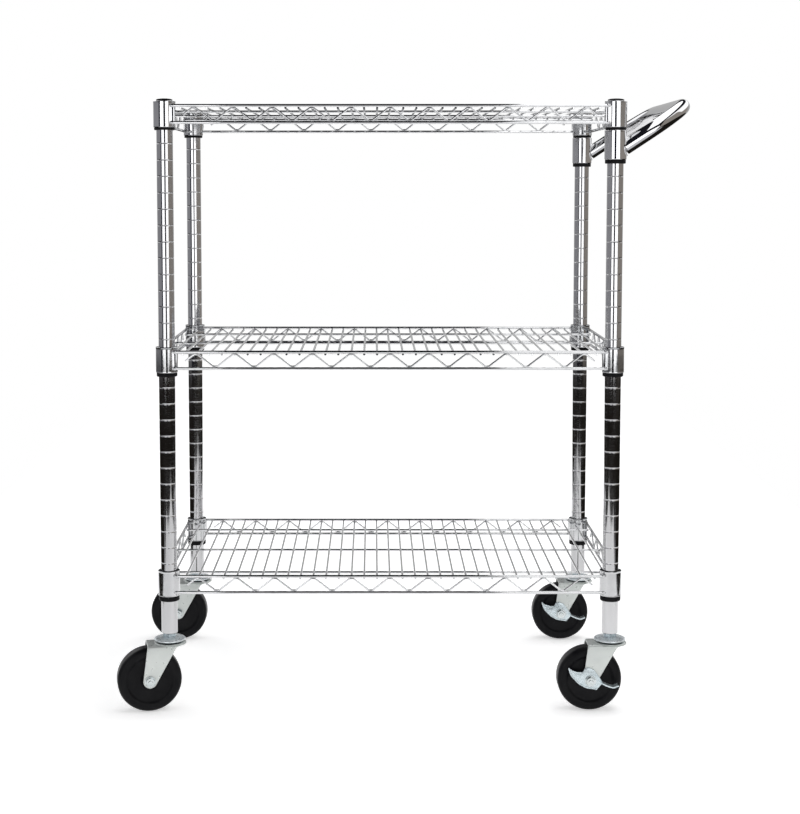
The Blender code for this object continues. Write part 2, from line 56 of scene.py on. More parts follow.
# Wires of a shelf: radii, and places measured from the centre of the upper rail wire
RAIL_R = 0.0024
RAIL_DROP = 0.026
CROSS_R = 0.0017
CROSS_DROP = 0.0037
CROSS_PITCH = 0.0202
CROSS_HALF_COUNT = 17
ROD_R = 0.0020
ROD_DROP = 0.0070
ROD_Y = 0.161
ZIGZAG_R = 0.0015
ZIGZAG_PITCH = 3 * CROSS_PITCH
ZIGZAG_FLAT = 0.0055  # length of wire that lies along the rail at each bend
STUB = 0.0166  # length of the wire past its last peak
SIDE_PEAKS = 5  # to each side of the middle
END_PEAKS = 2
WIRE_INTO_WIRE = 0.0004  # how far the zigzag wire is sunk into the rails by its welds

# Posts, collars and sleeves
GROOVE_PITCH = 0.0254
GROOVE_WIDTH = 0.0023
GROOVE_DEPTH = 0.00035
GROOVE_BELOW_RAIL = 0.0579  # from the top shelf's upper rail wire down to a groove
POST_WALL = 0.0013
COLLAR_R = 0.0171
COLLAR_SHEET = 0.0010
FLANGE_START = 0.0085  # measured from the post's axis
FLANGE_REACH = 0.0172
FLANGE_HALF = 0.0012
SLEEVE_R = 0.0159
SLEEVE_BORE = 0.0129
SLEEVE_SLIT = 0.0016
GAP = 0.0003  # clearance between pieces that touch

# Push handle
HANDLE_TILT = math.radians(33.4)
HANDLE_BEND = 0.083
HANDLE_R = 0.0117
HANDLE_LEG_START = 0.0176
HANDLE_COLLAR_HEIGHT = 0.045

# Casters
WHEEL_R = 0.0508
WHEEL_HALF = 0.016
HUB_HALF = 0.0190
FORK_HALF = 0.022
FORK_SHEET = 0.0025
FORK_END_R = 0.0265
FORK_BEND = 0.0050
FORK_EDGE = 0.0011  # radius of the sheet's edges
LEG_END_R = 0.011
LEG_FRONT = 0.0102  # where the leg's front edge meets the top plate, from the swivel axis
LEG_BACK_LEAN = 0.0073
RACE_TOP = 0.0063  # measured down from the hexagon's upper face
RACE_FOOT = 0.0113
NUT_WIDTH = 0.0130
THREAD_PITCH = 0.002
WASHER = 0.0011
BRAKE_SHEET = 0.0022
BRAKE_ROOM = 0.0028  # what a brake lever takes up between fork and nut
PEDAL_WIDTH = 0.0135
PEDAL_THICK = 0.0020

# Lights that stand in front of the cart
FRONT_LIGHT_Y = -2.73
FRONT_LIGHT_Z = 0.88


# ---------------------------------------------------------------- meshes

class Shape:
    """The vertices and faces of one piece, gathered from closed parts."""

    def __init__(self):
        self.verts = []
        self.faces = []

    def rings(self, rings, wrap=False):
        """Rings of equal length joined in order, then closed at both ends, or joined back to the first."""
        start = len(self.verts)
        count = len(rings[0])
        for ring in rings:
            self.verts.extend(tuple(point) for point in ring)
        for k in range(len(rings) if wrap else len(rings) - 1):
            low = start + k * count
            high = start + (k + 1) % len(rings) * count
            for j in range(count):
                i = (j + 1) % count
                self.faces.append((low + j, low + i, high + i, high + j))
        if not wrap:
            last = start + (len(rings) - 1) * count
            self.faces.append(tuple(range(start + count - 1, start - 1, -1)))
            self.faces.append(tuple(range(last, last + count)))

    def lathe(self, profile, sides, place=Matrix.Identity(4), wrap=True):
        """A profile of (radius, z) turned about Z: a loop if wrap is set, else a line with flat ends."""
        angles = [TURN * k / sides for k in range(sides)]
        self.rings([[place @ Vector((r * math.cos(a), r * math.sin(a), z)) for a in angles]
                    for r, z in profile], wrap)

    def wire(self, path, radius, sides=12, cut=True):
        """A round wire along a path, its ends cut square with a small chamfer."""
        path = [Vector(point) for point in path]
        along = [(path[min(k + 1, len(path) - 1)] - path[max(k - 1, 0)]).normalized()
                 for k in range(len(path))]
        side = along[0].orthogonal().normalized()
        rings = []
        for k, point in enumerate(path):
            side = (side - along[k] * side.dot(along[k])).normalized()
            other = along[k].cross(side)
            sizes = [(radius, 0.0)]
            if cut and k == 0:
                sizes = [(radius * 0.75, 0.0), (radius, radius * 0.25)]
            if cut and k == len(path) - 1:
                sizes = [(radius, -radius * 0.25), (radius * 0.75, 0.0)]
            for size, shift in sizes:
                rings.append([point + along[k] * shift + (side * math.cos(a) + other * math.sin(a)) * size
                              for a in (TURN * j / sides for j in range(sides))])
        self.rings(rings)

    def slab(self, outline, low, high, place=Matrix.Identity(4), edge=0.0):
        """An outline of (x, y) points raised from low to high, its rims rounded by edge."""
        loops = [(edge, low), (edge * 0.3, low + edge * 0.3), (0, low + edge),
                 (0, high - edge), (edge * 0.3, high - edge * 0.3), (edge, high)]
        if not edge:
            loops = [(0, low), (0, high)]
        self.rings([[place @ Vector((x, y, z)) for x, y in inset(outline, amount)] for amount, z in loops])

    def piece(self, name, material, body, node, crease=35):
        """The finished piece, riding on a body in place of a CAD node."""
        mesh = bpy.data.meshes.new(name)
        mesh.from_pydata(self.verts, [], self.faces)
        bm = bmesh.new()
        bm.from_mesh(mesh)
        bmesh.ops.recalc_face_normals(bm, faces=bm.faces)
        bm.to_mesh(mesh)
        bm.free()
        mesh.shade_smooth()
        mesh.set_sharp_from_angle(angle=math.radians(crease))
        mesh.materials.append(material)
        made = bpy.data.objects.new(name, mesh)
        bpy.context.scene.collection.objects.link(made)
        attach(made, body)
        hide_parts(node)


def inset(outline, amount):
    """A counterclockwise or clockwise outline drawn in by amount."""
    count = len(outline)
    points = [Vector(point) for point in outline]
    area = sum(points[k - 1].cross(points[k]) for k in range(count))
    sign = 1 if area > 0 else -1
    drawn = []
    for k in range(count):
        before = (points[k] - points[k - 1]).normalized()
        after = (points[(k + 1) % count] - points[k]).normalized()
        normal = Vector((-before.y - after.y, before.x + after.x))
        if normal.length < 1e-6:
            normal = Vector((-before.y, before.x))
        normal.normalize()
        reach = amount / max(0.5, normal.dot(Vector((-before.y, before.x))))
        drawn.append(tuple(points[k] + normal * reach * sign))
    return drawn


def arc(centre, radius, start, end, steps):
    """Points along an arc, both ends included."""
    return [(centre[0] + radius * math.cos(start + (end - start) * k / steps),
             centre[1] + radius * math.sin(start + (end - start) * k / steps)) for k in range(steps + 1)]


def rounded(points, radius, steps=5, closed=False):
    """A line of points of any dimension with its inner corners rounded off."""
    points = [Vector(point) for point in points]
    count = len(points)
    line = []
    for k, corner in enumerate(points):
        if not closed and k in (0, count - 1):
            line.append(corner)
            continue
        back = points[k - 1] - corner
        ahead = points[(k + 1) % count] - corner
        half = back.angle(ahead) / 2
        reach = min(radius / math.tan(half), back.length * 0.49, ahead.length * 0.49)
        start = corner + back.normalized() * reach
        end = corner + ahead.normalized() * reach
        for step in range(steps + 1):
            t = step / steps
            line.append(start * (1 - t) ** 2 + corner * 2 * t * (1 - t) + end * t ** 2)
    return line


# ---------------------------------------------------------------- materials

def new_material(name):
    material = bpy.data.materials.new(name)
    material.use_nodes = True
    nodes = material.node_tree.nodes
    return material, nodes, material.node_tree.links, nodes["Principled BSDF"]


def noise(nodes, links, scale, detail=4.0, roughness=0.55, stretch=(1, 1, 1)):
    """A noise texture in the object's own coordinates."""
    place = nodes.new("ShaderNodeTexCoord")
    mapping = nodes.new("ShaderNodeMapping")
    mapping.inputs["Scale"].default_value = stretch
    texture = nodes.new("ShaderNodeTexNoise")
    texture.inputs["Scale"].default_value = scale
    texture.inputs["Detail"].default_value = detail
    texture.inputs["Roughness"].default_value = roughness
    links.new(place.outputs["Object"], mapping.inputs["Vector"])
    links.new(mapping.outputs["Vector"], texture.inputs["Vector"])
    return texture.outputs["Fac"]


def ramp(nodes, links, source, stops):
    """A colour ramp through (position, grey or colour) stops."""
    made = nodes.new("ShaderNodeValToRGB")
    elements = made.color_ramp.elements
    while len(elements) < len(stops):
        elements.new(0.5)
    for element, (position, colour) in zip(elements, stops):
        element.position = position
        element.color = (*colour, 1.0) if isinstance(colour, tuple) else (colour, colour, colour, 1.0)
    links.new(source, made.inputs["Fac"])
    return made.outputs["Color"]


def place_axis(nodes, links, axis):
    """One of the object's own coordinates."""
    place = nodes.new("ShaderNodeTexCoord")
    split = nodes.new("ShaderNodeSeparateXYZ")
    links.new(place.outputs["Object"], split.inputs["Vector"])
    return split.outputs[axis]


def maths(nodes, links, operation, *values):
    """A math node fed by sockets or plain numbers."""
    node = nodes.new("ShaderNodeMath")
    node.operation = operation
    for socket, value in zip(node.inputs, values):
        if isinstance(value, (int, float)):
            socket.default_value = value
        else:
            links.new(value, socket)
    return node.outputs["Value"]


def smooth(nodes, links, source, low, high):
    """A soft step from 0 at low to 1 at high."""
    node = nodes.new("ShaderNodeMapRange")
    node.interpolation_type = "SMOOTHSTEP"
    node.inputs["From Min"].default_value = low
    node.inputs["From Max"].default_value = high
    links.new(source, node.inputs["Value"])
    return node.outputs["Result"]


def mixed(nodes, links, factor, first, second):
    """One colour mixed over another."""
    node = nodes.new("ShaderNodeMix")
    node.data_type = "RGBA"
    links.new(factor, node.inputs["Factor"])
    for name, colour in (("A", first), ("B", second)):
        if isinstance(colour, tuple):
            node.inputs[name].default_value = (*colour, 1.0)
        else:
            links.new(colour, node.inputs[name])
    return node.outputs["Result"]


def bump(nodes, links, shader, height, strength, distance):
    made = nodes.new("ShaderNodeBump")
    made.inputs["Strength"].default_value = strength
    made.inputs["Distance"].default_value = distance
    links.new(height, made.inputs["Height"])
    links.new(made.outputs["Normal"], shader.inputs["Normal"])


def plated(name, dark, light, gloss, rough, cloud_scale, ripple, streak=(1, 1, 1), metal=1.0):
    """Plated metal: cloudy tone, uneven gloss and a slight ripple left by polishing or drawing."""
    material, nodes, links, shader = new_material(name)
    shader.inputs["Metallic"].default_value = metal
    clouds = noise(nodes, links, cloud_scale, 5.0, 0.6, streak)
    links.new(ramp(nodes, links, clouds, [(0.3, dark), (0.7, light)]), shader.inputs["Base Color"])
    wear = noise(nodes, links, cloud_scale * 6, 6.0, 0.65, streak)
    links.new(ramp(nodes, links, wear, [(0.35, gloss), (0.75, rough)]), shader.inputs["Roughness"])
    bump(nodes, links, shader, noise(nodes, links, cloud_scale * 3, 3.0, 0.5, streak), ripple, 0.0004)
    return material


def moulded(name, dark, light, gloss, rough, grain_scale, grain):
    """Moulded plastic or rubber: faint mottling, uneven sheen and a fine moulded grain."""
    material, nodes, links, shader = new_material(name)
    shader.inputs["Specular IOR Level"].default_value = 0.10
    mottle = noise(nodes, links, grain_scale * 0.06, 5.0, 0.6)
    links.new(ramp(nodes, links, mottle, [(0.3, dark), (0.72, light)]), shader.inputs["Base Color"])
    sheen = noise(nodes, links, grain_scale * 0.2, 4.0, 0.6)
    links.new(ramp(nodes, links, sheen, [(0.3, gloss), (0.75, rough)]), shader.inputs["Roughness"])
    bump(nodes, links, shader, noise(nodes, links, grain_scale, 3.0, 0.5), grain, 0.0002)
    return material


post_chrome = plated("post_chrome", (0.50, 0.50, 0.51), (0.59, 0.59, 0.60), 0.05, 0.12, 9.0, 0.03,
                     streak=(1, 1, 0.15))
wire_chrome = plated("wire_chrome", (0.58, 0.59, 0.60), (0.74, 0.74, 0.75), 0.04, 0.11, 30.0, 0.05)
collar_chrome = plated("collar_chrome", (0.49, 0.50, 0.51), (0.62, 0.62, 0.63), 0.06, 0.15, 24.0, 0.08)
handle_chrome = plated("handle_chrome", (0.58, 0.58, 0.59), (0.66, 0.66, 0.67), 0.035, 0.08, 8.0, 0.03)
fork_zinc = plated("fork_zinc", (0.56, 0.59, 0.575), (0.65, 0.68, 0.66), 0.27, 0.36, 22.0, 0.03, metal=0.5)
race_zinc = plated("race_zinc", (0.66, 0.72, 0.75), (0.72, 0.77, 0.79), 0.26, 0.31, 16.0, 0.01, metal=0.45)
brake_zinc = plated("brake_zinc", (0.56, 0.64, 0.67), (0.63, 0.70, 0.73), 0.24, 0.31, 30.0, 0.02, metal=0.7)
bolt_zinc = plated("bolt_zinc", (0.44, 0.49, 0.50), (0.68, 0.71, 0.71), 0.14, 0.26, 60.0, 0.05)
black_plastic = moulded("black_plastic", (0.004, 0.004, 0.005), (0.010, 0.010, 0.011), 0.42, 0.60,
                        900.0, 0.15)
wheel_black = moulded("wheel_black", (0.003, 0.003, 0.004), (0.009, 0.009, 0.010), 0.30, 0.44,
                      700.0, 0.10)


def paint_shade_and_tone_bands(material, low, high, under, over):
    """Painted shade below one height of the piece, and another tone above a second."""
    nodes, links = material.node_tree.nodes, material.node_tree.links
    tone = nodes["Principled BSDF"].inputs["Base Color"]
    height = place_axis(nodes, links, "Z")
    soft = 0.0002
    # Below the low height: painted shade, mixed in over the plating's own tone.
    in_painted_shade = smooth(nodes, links, height, low, low - soft)
    is_over = smooth(nodes, links, height, high, high + soft)
    lower = mixed(nodes, links, in_painted_shade, tone.links[0].from_socket, under)
    links.new(mixed(nodes, links, is_over, lower, over), tone)


# ---------------------------------------------------------------- posts

def centre(node):
    low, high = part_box(node)
    return (low + high) / 2


def post_axis(corner):
    middle = centre(f"post_{corner}")
    return middle.x, middle.y


def build_post(corner):
    """A tube with ring grooves from the bottom shelf's collar up, smooth below."""
    low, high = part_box(f"post_{corner}")
    radius = (high.x - low.x) / 2
    x, y = post_axis(corner)
    groove_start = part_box("bottom_shelf_left_end")[1].z + 0.004
    phase = shelf_height("top") - GROOVE_BELOW_RAIL
    profile = [(radius - 0.0006, low.z), (radius, low.z + 0.0006), (radius, low.z + 0.0012)]
    first = math.ceil((groove_start - phase) / GROOVE_PITCH)
    z = phase + first * GROOVE_PITCH
    while z < high.z - GROOVE_WIDTH:
        profile.append((radius, z - GROOVE_WIDTH * 0.6))
        for k in range(9):
            t = k / 8
            depth = GROOVE_DEPTH * (0.5 - 0.5 * math.cos(TURN * t))
            profile.append((radius - depth, z + (t - 0.5) * GROOVE_WIDTH))
        profile.append((radius, z + GROOVE_WIDTH * 0.6))
        z += GROOVE_PITCH
    profile += [(radius, high.z - 0.0010), (radius, high.z - 0.0004), (radius - 0.0004, high.z),
                (radius - POST_WALL, high.z), (radius - POST_WALL, low.z)]
    shape = Shape()
    shape.lathe(profile, 56, Matrix.Translation((x, y, 0)))
    shape.piece(f"grooved_post_{corner}", post_chrome, "cart_frame", f"post_{corner}", 60)


def build_cap(corner):
    """The push-in cap: plug, thin brim and shallow dome."""
    low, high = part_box(f"post_cap_{corner}")
    x, y = post_axis(corner)
    brim = (high.x - low.x) / 2
    brim_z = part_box(f"post_{corner}")[1].z + GAP
    dome = high.z - brim_z
    profile = [(0.0102, low.z), (0.0112, low.z + 0.001), (0.0112, brim_z), (brim - 0.0002, brim_z),
               (brim, brim_z + 0.0004), (brim, brim_z + 0.0010)]
    for k in range(1, 9):
        a = math.pi / 2 * k / 8
        profile.append((brim * math.cos(a), brim_z + 0.0010 + (dome - 0.0010) * math.sin(a)))
    shape = Shape()
    shape.lathe(profile, 48, Matrix.Translation((x, y, 0)), wrap=False)
    shape.piece(f"domed_cap_{corner}", black_plastic, "cart_frame", f"post_cap_{corner}")


def build_insert(corner):
    """The threaded insert pressed into a post's foot."""
    low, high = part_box(f"foot_insert_{corner}")
    x, y = post_axis(corner)
    outer = (high.x - low.x) / 2
    profile = [(outer - 0.0005, low.z), (outer, low.z + 0.0005), (outer, high.z - 0.0005),
               (outer - 0.0005, high.z)]
    turns = 14
    pitch = (high.z - low.z) / turns
    for k in range(turns):
        profile += [(0.0064, high.z - k * pitch), (0.0068, high.z - (k + 0.5) * pitch)]
    profile.append((0.0064, low.z))
    shape = Shape()
    shape.lathe(profile, 32, Matrix.Translation((x, y, 0)))
    shape.piece(f"threaded_insert_{corner}", bolt_zinc, "cart_frame", f"foot_insert_{corner}")


def build_sleeve(node, corner, collar):
    """A split sleeve: a lipped ring that shows under the collar, and a slit all the way up."""
    low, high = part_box(node)
    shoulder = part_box(collar)[0].z
    x, y = post_axis(corner)
    wedge_low, wedge_high = SLEEVE_R - 0.0001, SLEEVE_R - 0.0005
    bore = SLEEVE_BORE
    profile = [(bore, low.z + 0.0006), (bore + 0.0006, low.z), (SLEEVE_R - 0.0006, low.z),
               (SLEEVE_R + 0.0002, low.z + 0.0008), (SLEEVE_R + 0.0003, shoulder - 0.0012),
               (wedge_low, shoulder - 0.0004), (wedge_high, high.z - 0.0005), (wedge_high - 0.0005, high.z),
               (bore, high.z)]
    sides = 64
    slit = SLEEVE_SLIT / SLEEVE_R
    rings = []
    for k in range(sides + 1):
        a = slit / 2 + (TURN - slit) * k / sides
        rings.append([(x + r * math.cos(a), y + r * math.sin(a), z) for r, z in profile])
    shape = Shape()
    shape.rings(rings)
    shape.piece(f"split_{node}", black_plastic, "cart_frame", node, 40)


# ---------------------------------------------------------------- shelves

def shelf_height(level):
    """The height of a shelf's upper rail wire."""
    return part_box(f"{level}_shelf_front_truss")[1].z - RAIL_R


def add_collar(shape, x, y, low, high):
    """A collar pressed from sheet: slightly wider at the foot, with a rolled lip at each end."""
    h = high - low
    outer = [(COLLAR_R - 0.0003, 0.0), (COLLAR_R, 0.0003), (COLLAR_R + 0.0001, 0.0008),
             (COLLAR_R, 0.0014), (COLLAR_R, 0.0020), (COLLAR_R, h - 0.0030),
             (COLLAR_R, h - 0.0024), (COLLAR_R + 0.0001, h - 0.0016), (COLLAR_R + 0.0002, h - 0.0008),
             (COLLAR_R + 0.0002, h - 0.0004), (COLLAR_R - 0.0001, h)]
    inner = [(COLLAR_R - COLLAR_SHEET + 0.0004, h), (COLLAR_R - COLLAR_SHEET, h - 0.0030),
             (COLLAR_R - COLLAR_SHEET + 0.0001, h * 0.5), (COLLAR_R - COLLAR_SHEET + 0.0001, 0.0)]
    shape.lathe([(r, low + z) for r, z in outer + inner], 64, Matrix.Translation((x, y, 0)))


def add_flange(shape, post, along, offset, rail_z):
    """The upright flange on a collar that a truss's two rail wires are welded to."""
    root = post.to_3d() + offset
    top, foot = rail_z - 0.0004, rail_z - RAIL_DROP + 0.0004
    across = Vector((0, 0, 1)).cross(along)
    half_length = (FLANGE_REACH - FLANGE_START) / 2
    middle = (FLANGE_START + FLANGE_REACH) / 2
    corner = ((0.0, 0.0030), (0.0006, 0.0014), (0.0016, 0.0004), (0.0030, 0.0))
    levels = [(foot + up, inward) for up, inward in corner]
    levels += [(top - down, inward) for down, inward in reversed(corner)]
    rings = []
    for z, inward in levels:
        ring = []
        for k in range(24):
            a = TURN * k / 24
            bulge = half_length * math.cos(a) * 1.1
            length = min(middle + max(min(bulge, half_length), -half_length), FLANGE_REACH - inward)
            spot = root + along * length + across * FLANGE_HALF * math.sin(a)
            ring.append(Vector((spot.x, spot.y, z)))
        rings.append(ring)
    shape.rings(rings)
    for rail in (rail_z, rail_z - RAIL_DROP):
        spot = root + along * (FLANGE_REACH - 0.0035)
        add_blob(shape, Vector((spot.x, spot.y, rail)), along, (0.0040, 0.0030, 0.0031))


def add_blob(shape, centre_point, along, radii):
    """A weld: a rounded lump, longer along the wire."""
    across = Vector((0, 0, 1)).cross(along)
    rings = []
    for k in range(1, 8):
        a = math.pi * k / 8
        rings.append([centre_point - along * radii[0] * math.cos(a)
                      + (across * math.cos(b) * radii[1] + Vector((0, 0, 1)) * math.sin(b) * radii[2])
                      * math.sin(a) for b in (TURN * j / 14 for j in range(14))])
    shape.rings(rings)


def zigzag_path(half_count, place):
    """The bent wire between two rails: flat-topped bends, and a stub past the last one at each end."""
    peak = -(RAIL_R + ZIGZAG_R) + WIRE_INTO_WIRE
    foot = -RAIL_DROP - peak
    points = []
    for n in range(-half_count, half_count + 1):
        points += [(n * ZIGZAG_PITCH - ZIGZAG_FLAT / 2, peak), (n * ZIGZAG_PITCH + ZIGZAG_FLAT / 2, peak)]
        if n < half_count:
            middle = (n + 0.5) * ZIGZAG_PITCH
            points += [(middle - ZIGZAG_FLAT / 2, foot), (middle + ZIGZAG_FLAT / 2, foot)]
    slope = (peak - foot) / (ZIGZAG_PITCH / 2 - ZIGZAG_FLAT)
    end = half_count * ZIGZAG_PITCH
    drop = peak - slope * (STUB - ZIGZAG_FLAT / 2)
    points = [(-end - STUB, drop)] + points + [(end + STUB, drop)]
    return [place(s, z) for s, z in rounded(points, 0.004, 4)]


def build_side_truss(level, side):
    """Front or rear truss of a shelf: two rail wires and the zigzag wire, welded between the collars."""
    node = f"{level}_shelf_{side}_truss"
    low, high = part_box(node)
    y, z = (low.y + high.y) / 2, shelf_height(level)
    middle = (low.x + high.x) / 2
    reach = (high.x - low.x) / 2 + 0.0028
    shape = Shape()
    for drop in (0.0, RAIL_DROP):
        shape.wire([(middle - reach, y, z - drop), (middle + reach, y, z - drop)], RAIL_R, 16)
    shape.wire(zigzag_path(SIDE_PEAKS, lambda s, drop: (middle + s, y, z + drop)), ZIGZAG_R)
    shape.piece(f"truss_{level}_{side}", wire_chrome, "cart_frame", node)


def build_end_truss(level, side):
    """Left or right truss of a shelf with the collars and their flanges at both its ends."""
    node = f"{level}_shelf_{side}_end"
    low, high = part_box(node)
    outward = 1 if side == "right" else -1
    front, rear = Vector(post_axis(f"front_{side}")), Vector(post_axis(f"rear_{side}"))
    rail_offset = front.y - centre(f"{level}_shelf_front_truss").y
    z = shelf_height(level)
    x = front.x + outward * rail_offset
    middle = (front.y + rear.y) / 2
    reach = (rear.y - front.y) / 2 - 0.0093
    shape = Shape()
    for drop in (0.0, RAIL_DROP):
        shape.wire([(x, middle - reach, z - drop), (x, middle + reach, z - drop)], RAIL_R, 16)
    shape.wire(zigzag_path(END_PEAKS, lambda s, drop: (x, middle + s, z + drop)), ZIGZAG_R)
    inward = Vector((-outward, 0, 0))
    for post, to_side in ((front, -1), (rear, 1)):
        add_collar(shape, post.x, post.y, low.z, high.z)
        add_flange(shape, post, inward, Vector((0, to_side * rail_offset, 0)), z)
        add_flange(shape, post, Vector((0, -to_side, 0)), Vector((outward * rail_offset, 0, 0)), z)
    shape.piece(f"end_truss_{level}_{side}", collar_chrome, "cart_frame", node)


def build_mat(level):
    """The deck of a shelf: cross wires laid front to back on three lengthwise rods."""
    node = f"{level}_shelf_mat"
    z = shelf_height(level)
    rail_y = [centre(f"{level}_shelf_{side}_truss").y for side in ("front", "rear")]
    middle = Vector(((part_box(node)[0].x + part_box(node)[1].x) / 2, sum(rail_y) / 2))
    reach = (rail_y[1] - rail_y[0]) / 2 - 0.0002
    corner_reach = post_axis("rear_left")[1] - middle.y - 0.0152
    rod_reach = post_axis("front_right")[0] - middle.x + 0.0140
    shape = Shape()
    for n in range(-CROSS_HALF_COUNT, CROSS_HALF_COUNT + 1):
        x = middle.x + n * CROSS_PITCH
        half = corner_reach if abs(n) == CROSS_HALF_COUNT else reach
        height = z - CROSS_DROP
        shape.wire([(x, middle.y - half, height), (x, middle.y + half, height)], CROSS_R)
    for y in (-ROD_Y, 0.0, ROD_Y):
        ends = [(middle.x + end, middle.y + y, z - ROD_DROP) for end in (-rod_reach, rod_reach)]
        shape.wire(ends, ROD_R, 14)
    shape.piece(f"wire_mat_{level}", wire_chrome, "cart_frame", node)


# ---------------------------------------------------------------- handle

def build_handle():
    """The bent tube with its weld beads, and the two collars it is welded to."""
    low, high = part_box("push_handle")
    front, rear = post_axis("front_right"), post_axis("rear_right")
    half = (rear[1] - front[1]) / 2
    middle = (rear[1] + front[1]) / 2
    bar_x = high.x - HANDLE_R
    bar_z = high.z - HANDLE_R
    slope = Vector((math.cos(HANDLE_TILT), 0, math.sin(HANDLE_TILT)))
    length = (bar_x - front[0]) / slope.x
    root = Vector((front[0], middle, bar_z - length * slope.z))
    straight = length - HANDLE_BEND
    leg = [(HANDLE_LEG_START + (straight - HANDLE_LEG_START) * k / 3, -half) for k in range(3)]
    leg += arc((straight, HANDLE_BEND - half), HANDLE_BEND, -math.pi / 2, 0, 20)
    path = leg + [(s, -y) for s, y in reversed(leg)]
    shape = Shape()
    shape.wire([root + s * slope + Vector((0, y, 0)) for s, y in path], HANDLE_R, 40, cut=False)
    for y in (-half, half):
        add_collar(shape, front[0], middle + y, low.z, low.z + HANDLE_COLLAR_HEIGHT)
        add_weld(shape, root + Vector((0, y, 0)), slope)
    shape.piece("bent_push_handle", handle_chrome, "cart_frame", "push_handle", 45)


def add_weld(shape, axis_point, slope):
    """The bead where a leg of the handle meets its collar: a closed wavy wire round the joint."""
    side = Vector((0, 1, 0))
    up = slope.cross(side)
    bead = []
    steps = 48
    for k in range(steps):
        a = TURN * k / steps
        across = (side * math.cos(a) + up * math.sin(a)) * (HANDLE_R + 0.0001)
        flat = Vector((across.x, across.y, 0))
        reach = COLLAR_R + 0.0002
        outward = math.sqrt(max(reach ** 2 - flat.y ** 2, 0.0))
        shift = (outward - flat.x) / slope.x
        bead.append(axis_point + across + slope * shift)
    rings = []
    for k, point in enumerate(bead):
        along = (bead[(k + 1) % steps] - bead[k - 1]).normalized()
        first = (slope - along * slope.dot(along)).normalized()
        second = along.cross(first)
        size = 0.0013 + 0.00015 * math.sin(k * 2.1)
        rings.append([point + (first * math.cos(b) + second * math.sin(b)) * size
                      for b in (TURN * j / 10 for j in range(10))])
    shape.rings(rings, wrap=True)


# ---------------------------------------------------------------- casters

def hex_rings(shape, width, low, high, place, chamfer=0.0008):
    """A hexagonal nut or bolt head with its corners turned off at both ends."""
    sides = 48
    rings = []
    for z, limit in ((low, width / 2), (low + chamfer, 1.0), (high - chamfer, 1.0), (high, width / 2)):
        ring = []
        for k in range(sides):
            a = TURN * k / sides
            flat = width / 2 / math.cos((a + math.pi / 6) % (math.pi / 3) - math.pi / 6)
            r = min(flat, limit + 0.0002)
            ring.append(place @ Vector((r * math.cos(a), r * math.sin(a), z)))
        rings.append(ring)
    shape.rings(rings)


def build_stem(corner):
    """The fixed half of a caster: threaded stem, hexagon, race plate, seal and riveted kingpin."""
    node = f"caster_stem_{corner}"
    low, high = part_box(node)
    x, y = post_axis(corner)
    place = Matrix.Translation((x, y, 0))
    race_r = (high.x - low.x) / 2
    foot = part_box(f"post_{corner}")[0].z - GAP
    race_top, race_low = foot - RACE_TOP, foot - RACE_FOOT
    plate = [(0.0095, race_low + 0.0002), (race_r - 0.0030, race_low), (race_r - 0.0008, race_low + 0.0005),
             (race_r, race_low + 0.0016), (race_r - 0.0002, race_low + 0.0026),
             (race_r - 0.0016, race_low + 0.0036), (race_r - 0.0050, race_low + 0.0041),
             (0.0140, race_top - 0.0006), (0.0120, race_top), (0.0070, race_top)]
    seal = [(0.0110, low.z + 0.0075), (0.0192, race_low - 0.0028), (0.0204, race_low - 0.0014),
            (0.0192, race_low + 0.0004)]
    rivet = [(0.0066, low.z), (0.0086, low.z + 0.0008), (0.0090, low.z + 0.0020),
             (0.0086, low.z + 0.0035), (0.0060, low.z + 0.0037), (0.0060, low.z + 0.0080)]
    shape = Shape()
    shape.lathe(plate, 64, place, wrap=False)
    hex_rings(shape, 0.019, race_top - 0.0003, foot, place)
    shape.lathe(seal, 48, place, wrap=False)
    shape.lathe(rivet, 32, place, wrap=False)
    thread = [(0.0060, foot)]
    turns = int((high.z - foot) / THREAD_PITCH) - 1
    for k in range(turns):
        thread += [(0.0061, foot + (k + 0.3) * THREAD_PITCH), (0.0055, foot + (k + 0.8) * THREAD_PITCH)]
    thread += [(0.0056, high.z - 0.0005), (0.0050, high.z)]
    shape.lathe(thread, 32, place, wrap=False)
    shape.piece(f"stem_and_race_{corner}", race_zinc, "cart_frame", node)


def caster_frame(corner):
    """Where a caster's swivel stands, turned as its fork is: a matrix from the fork's own axes."""
    joints = {joint["name"]: joint for joint in frame["joints"]}
    swivel = Vector(joints[f"{corner}_swivel"]["pos_m"])
    axle = joints[f"{corner}_roll"]["axis"]
    turn = math.atan2(-axle[0], axle[1])
    place = Matrix.Translation((swivel.x, swivel.y, 0)) @ Matrix.Rotation(turn, 4, "Z")
    hub = place.inverted() @ Vector(joints[f"{corner}_roll"]["pos_m"])
    return place, hub


